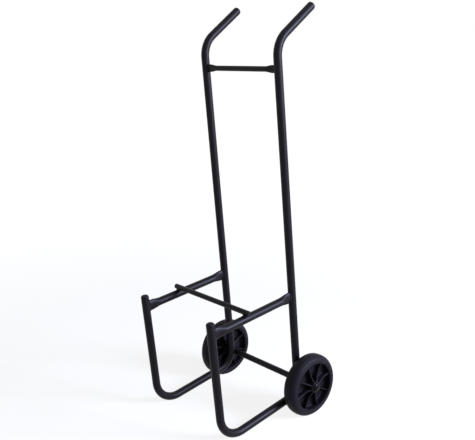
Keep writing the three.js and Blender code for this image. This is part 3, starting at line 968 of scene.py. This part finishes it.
def rib_flank(height):
    """One side of a rib in section, from the crown of its edge to its foot in the web."""
    edge = [(RIB_EDGE_HALF * math.sin(a), height - RIB_EDGE_HALF * (1 - math.cos(a)))
            for a in RIB_EDGE_ANGLES]
    return edge + [(thick * MM, WEB_HALF + rise * MM) for thick, rise in RIB_FOOT]


def rib_shape(sign):
    """A rib through the web. Its edge follows a curve that the dip pulls down between its ends."""
    start, end = HUB_RADIUS - RIB_INTO_HUB, RIM_RADIUS + RIB_INTO_RIM
    rim_height = WHEEL_WIDTH / 2 - RIB_BELOW_RIM
    rings = []
    for k in range(RIB_STEPS + 1):
        t = k / RIB_STEPS
        flanks = []
        for hub, way in ((HUB_OUTER, 1), (HUB_INNER, -1)):
            near_hub = (hub - RIB_BELOW_HUB) * (1 - t) ** 2
            height = near_hub + RIB_DIP * 2 * t * (1 - t) + rim_height * t ** 2
            flanks.append([(x, a * way) for x, a in rib_flank(height)])
        half = flanks[0] + flanks[1][::-1]
        outline = half + [(-x, a) for x, a in reversed(half)]
        radius = start + (end - start) * t
        rings.append([Vector((a * sign, radius, x)) for x, a in outline])
    return skinned("one_rib", rings, plastic)


# %% A tree that repeats the rib
RIB_COUNT = 8
RIB_PHASE = math.radians(18)


def ribbed_tree():
    tree, given = new_tree("ribs_round_axle", [
        ("Rib", "Object", None),
        ("Count", "Int", RIB_COUNT),
        ("Phase", "Float", RIB_PHASE),
        ("Middle", "Vector", None),
        ("Material", "Material", None),
    ])
    rib = add_node(tree, "GeometryNodeObjectInfo", {"Object": given["Rib"], "As Instance": True})
    copies = add_node(tree, "GeometryNodeDuplicateElements", {
        "Geometry": rib.outputs["Geometry"], "Amount": given["Count"]}, domain="INSTANCE")
    step = add_node(tree, "ShaderNodeMath", {0: math.tau, 1: given["Count"]}, operation="DIVIDE")
    angle = add_node(tree, "ShaderNodeMath", {
        0: copies.outputs["Duplicate Index"], 1: step.outputs[0],
        2: given["Phase"]}, operation="MULTIPLY_ADD")
    turn_by = add_node(tree, "ShaderNodeCombineXYZ", {"X": angle.outputs[0]})
    fan = add_node(tree, "GeometryNodeRotateInstances", {
        "Instances": copies.outputs["Geometry"], "Rotation": turn_by.outputs[0],
        "Local Space": False})
    seated = add_node(tree, "GeometryNodeTransform", {
        "Geometry": fan.outputs[0], "Translation": given["Middle"]})
    whole = add_node(tree, "GeometryNodeJoinGeometry", {"Geometry": given["Geometry"]})
    tree.links.new(seated.outputs[0], whole.inputs["Geometry"])
    return end_tree(tree, whole.outputs[0], given["Material"])


rib_tree = ribbed_tree()

# %% Two wheel centres
for side, sign in SIDES:
    rib = rib_shape(sign)
    middle = AXLE + ACROSS * sign * WHEEL_MIDDLE
    centre = turned(f"{side}_ribbed_centre", centre_profile(), middle, ACROSS * sign,
                    plastic, WHEEL_SIDES)
    grown(centre, rib_tree, Rib=rib, Count=RIB_COUNT, Phase=RIB_PHASE * sign, Middle=middle,
          Material=plastic)
    settled(centre, f"{side}_wheel", "wheel_plastic", f"{side}_wheel_centre")
    bpy.data.objects.remove(rib)

# %% [markdown]
# Weld beads
#
# Everything on the frame is welded, and each joint shows a bead: a row of overlapping ripples
# left by the weld pool as it moved round the joint. The path of each bead is where the two
# surfaces meet. One tree follows all of them: it divides the path evenly, lets the radius
# swell and shrink once per ripple with a little chance added, and sweeps a circle along it.

# %% A tree for rippled beads
BEAD_RADIUS = 1.7 * MM
RIPPLE_PITCH = 2.4 * MM


def weld_tree():
    tree, given = new_tree("weld_bead", [
        ("Bead Radius", "Float", BEAD_RADIUS),
        ("Ripple Pitch", "Float", RIPPLE_PITCH),
        ("Steps per Ripple", "Float", 6.0),
        ("Ripple Share", "Float", 0.14),
        ("Uneven Share", "Float", 0.16),
        ("Sides", "Int", 10),
        ("Seed", "Int", 3),
        ("Material", "Material", None),
    ])
    pitch = given["Ripple Pitch"]
    path = add_node(tree, "GeometryNodeMeshToCurve", {"Mesh": given["Geometry"]})
    step = add_node(tree, "ShaderNodeMath", {
        0: pitch, 1: given["Steps per Ripple"]}, operation="DIVIDE")
    even = add_node(tree, "GeometryNodeResampleCurve", {
        "Curve": path.outputs[0], "Length": step.outputs[0]}, mode="LENGTH")
    along = add_node(tree, "GeometryNodeSplineParameter").outputs["Length"]
    waves = add_node(tree, "ShaderNodeMath", {0: along, 1: pitch}, operation="DIVIDE")
    angle = add_node(tree, "ShaderNodeMath", {
        0: waves.outputs[0], 1: math.tau}, operation="MULTIPLY")
    wave = add_node(tree, "ShaderNodeMath", {0: angle.outputs[0]}, operation="SINE")
    which = add_node(tree, "ShaderNodeMath", {0: waves.outputs[0]}, operation="FLOOR")
    chance = add_node(tree, "FunctionNodeRandomValue", {
        "ID": which.outputs[0], "Seed": given["Seed"]}, data_type="FLOAT")
    centred = add_node(tree, "ShaderNodeMath", {
        0: chance.outputs[1], 1: 0.5}, operation="SUBTRACT")
    uneven = add_node(tree, "ShaderNodeMath", {
        0: centred.outputs[0], 1: given["Uneven Share"], 2: 1.0}, operation="MULTIPLY_ADD")
    swell = add_node(tree, "ShaderNodeMath", {
        0: wave.outputs[0], 1: given["Ripple Share"],
        2: uneven.outputs[0]}, operation="MULTIPLY_ADD")
    circle = add_node(tree, "GeometryNodeCurvePrimitiveCircle", {
        "Resolution": given["Sides"], "Radius": given["Bead Radius"]})
    swept = add_node(tree, "GeometryNodeCurveToMesh", {
        "Curve": even.outputs[0], "Profile Curve": circle.outputs[0],
        "Scale": swell.outputs[0], "Fill Caps": True})
    return end_tree(tree, swept.outputs[0], given["Material"])


bead_tree = weld_tree()

# %% Where the beads run
BEAD_ASIDE = 0.6 * MM
BEAD_LIFT = 0.2 * MM
ARC_STEPS = 24


def pressed_weld(start, toward, wide, tall, size, tube_axis):
    """The line where a pressed end meets the side of a round tube."""
    line = []
    outline = pressed_outline(size["radius"] + BEAD_ASIDE, size["height"] + 2 * BEAD_ASIDE)
    for x, t in outline:
        origin = start + toward * START_AWAY + wide * x + tall * t
        line.append(meeting(origin, -toward, start, tube_axis, TUBE_RADIUS + BEAD_LIFT))
    return line


def axle_weld(shift):
    """The line where the axle runs into the rear bend, with the bend taken as straight there."""
    along = heading(UPRIGHT_LEAN - AXLE_INTO_BEND + math.pi / 2)
    reach = math.acos((TUBE_RADIUS - AXLE_SET_BACK) / AXLE_RADIUS)
    line = []
    for sign in (1, -1):
        for k in range(ARC_STEPS + 1):
            share = k / ARC_STEPS if sign > 0 else 1 - k / ARC_STEPS
            angle = reach + (math.tau - 2 * reach) * share
            depth = AXLE_SET_BACK + AXLE_RADIUS * math.cos(angle)
            aside = math.sqrt(max(0.0, TUBE_RADIUS ** 2 - depth ** 2)) + BEAD_LIFT
            outwards = from_bend * math.cos(angle) + along * math.sin(angle)
            point = AXLE + outwards * (AXLE_RADIUS + BEAD_LIFT)
            line.append(point + shift + ACROSS * sign * aside)
    return line


# %% All weld beads
# A thin piece gets a smaller bead than a tube does.
TUBE_SHARE, THIN_SHARE, ROD_SHARE = 1.0, 0.8, 0.7

seams = []
for side, sign in SIDES:
    shift = half_across * sign
    front = pressed_weld(rail_front + shift, rail_along, ACROSS, rail_normal, RAIL, up_post)
    rear = pressed_weld(rail_rear + shift, -rail_along, ACROSS, rail_normal, RAIL, up_upright)
    tie = pressed_weld(bar_place + shift, ACROSS * -sign, behind_upright, up_upright, BAR,
                       up_upright)
    stub_foot, stub_head = stub_rings[side]
    seams += [
        (f"{side}_rail_front_weld", front, TUBE_SHARE),
        (f"{side}_rail_rear_weld", rear, TUBE_SHARE),
        (f"{side}_tie_weld", tie, THIN_SHARE),
        (f"{side}_stub_foot_weld", stub_foot, THIN_SHARE),
        (f"{side}_stub_head_weld", stub_head, ROD_SHARE),
        (f"{side}_axle_weld", axle_weld(shift), TUBE_SHARE),
    ]
for number, (name, line, share) in enumerate(seams):
    inputs = {"Bead Radius": BEAD_RADIUS * share, "Seed": number, "Material": paint}
    seam = grown(path_object(name, line, closed=True), bead_tree, **inputs)
    settled(seam, "frame", "black_paint")
print("weld beads:", len(seams))

# %% [markdown]
# Last lines
#
# The dressed model has to stay as large as the CAD model, so the box round it is printed
# at the end.

# %% Sizes and finish
low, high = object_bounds()
print("visual box in metres:", [round(v, 4) for v in (*low, *high)])
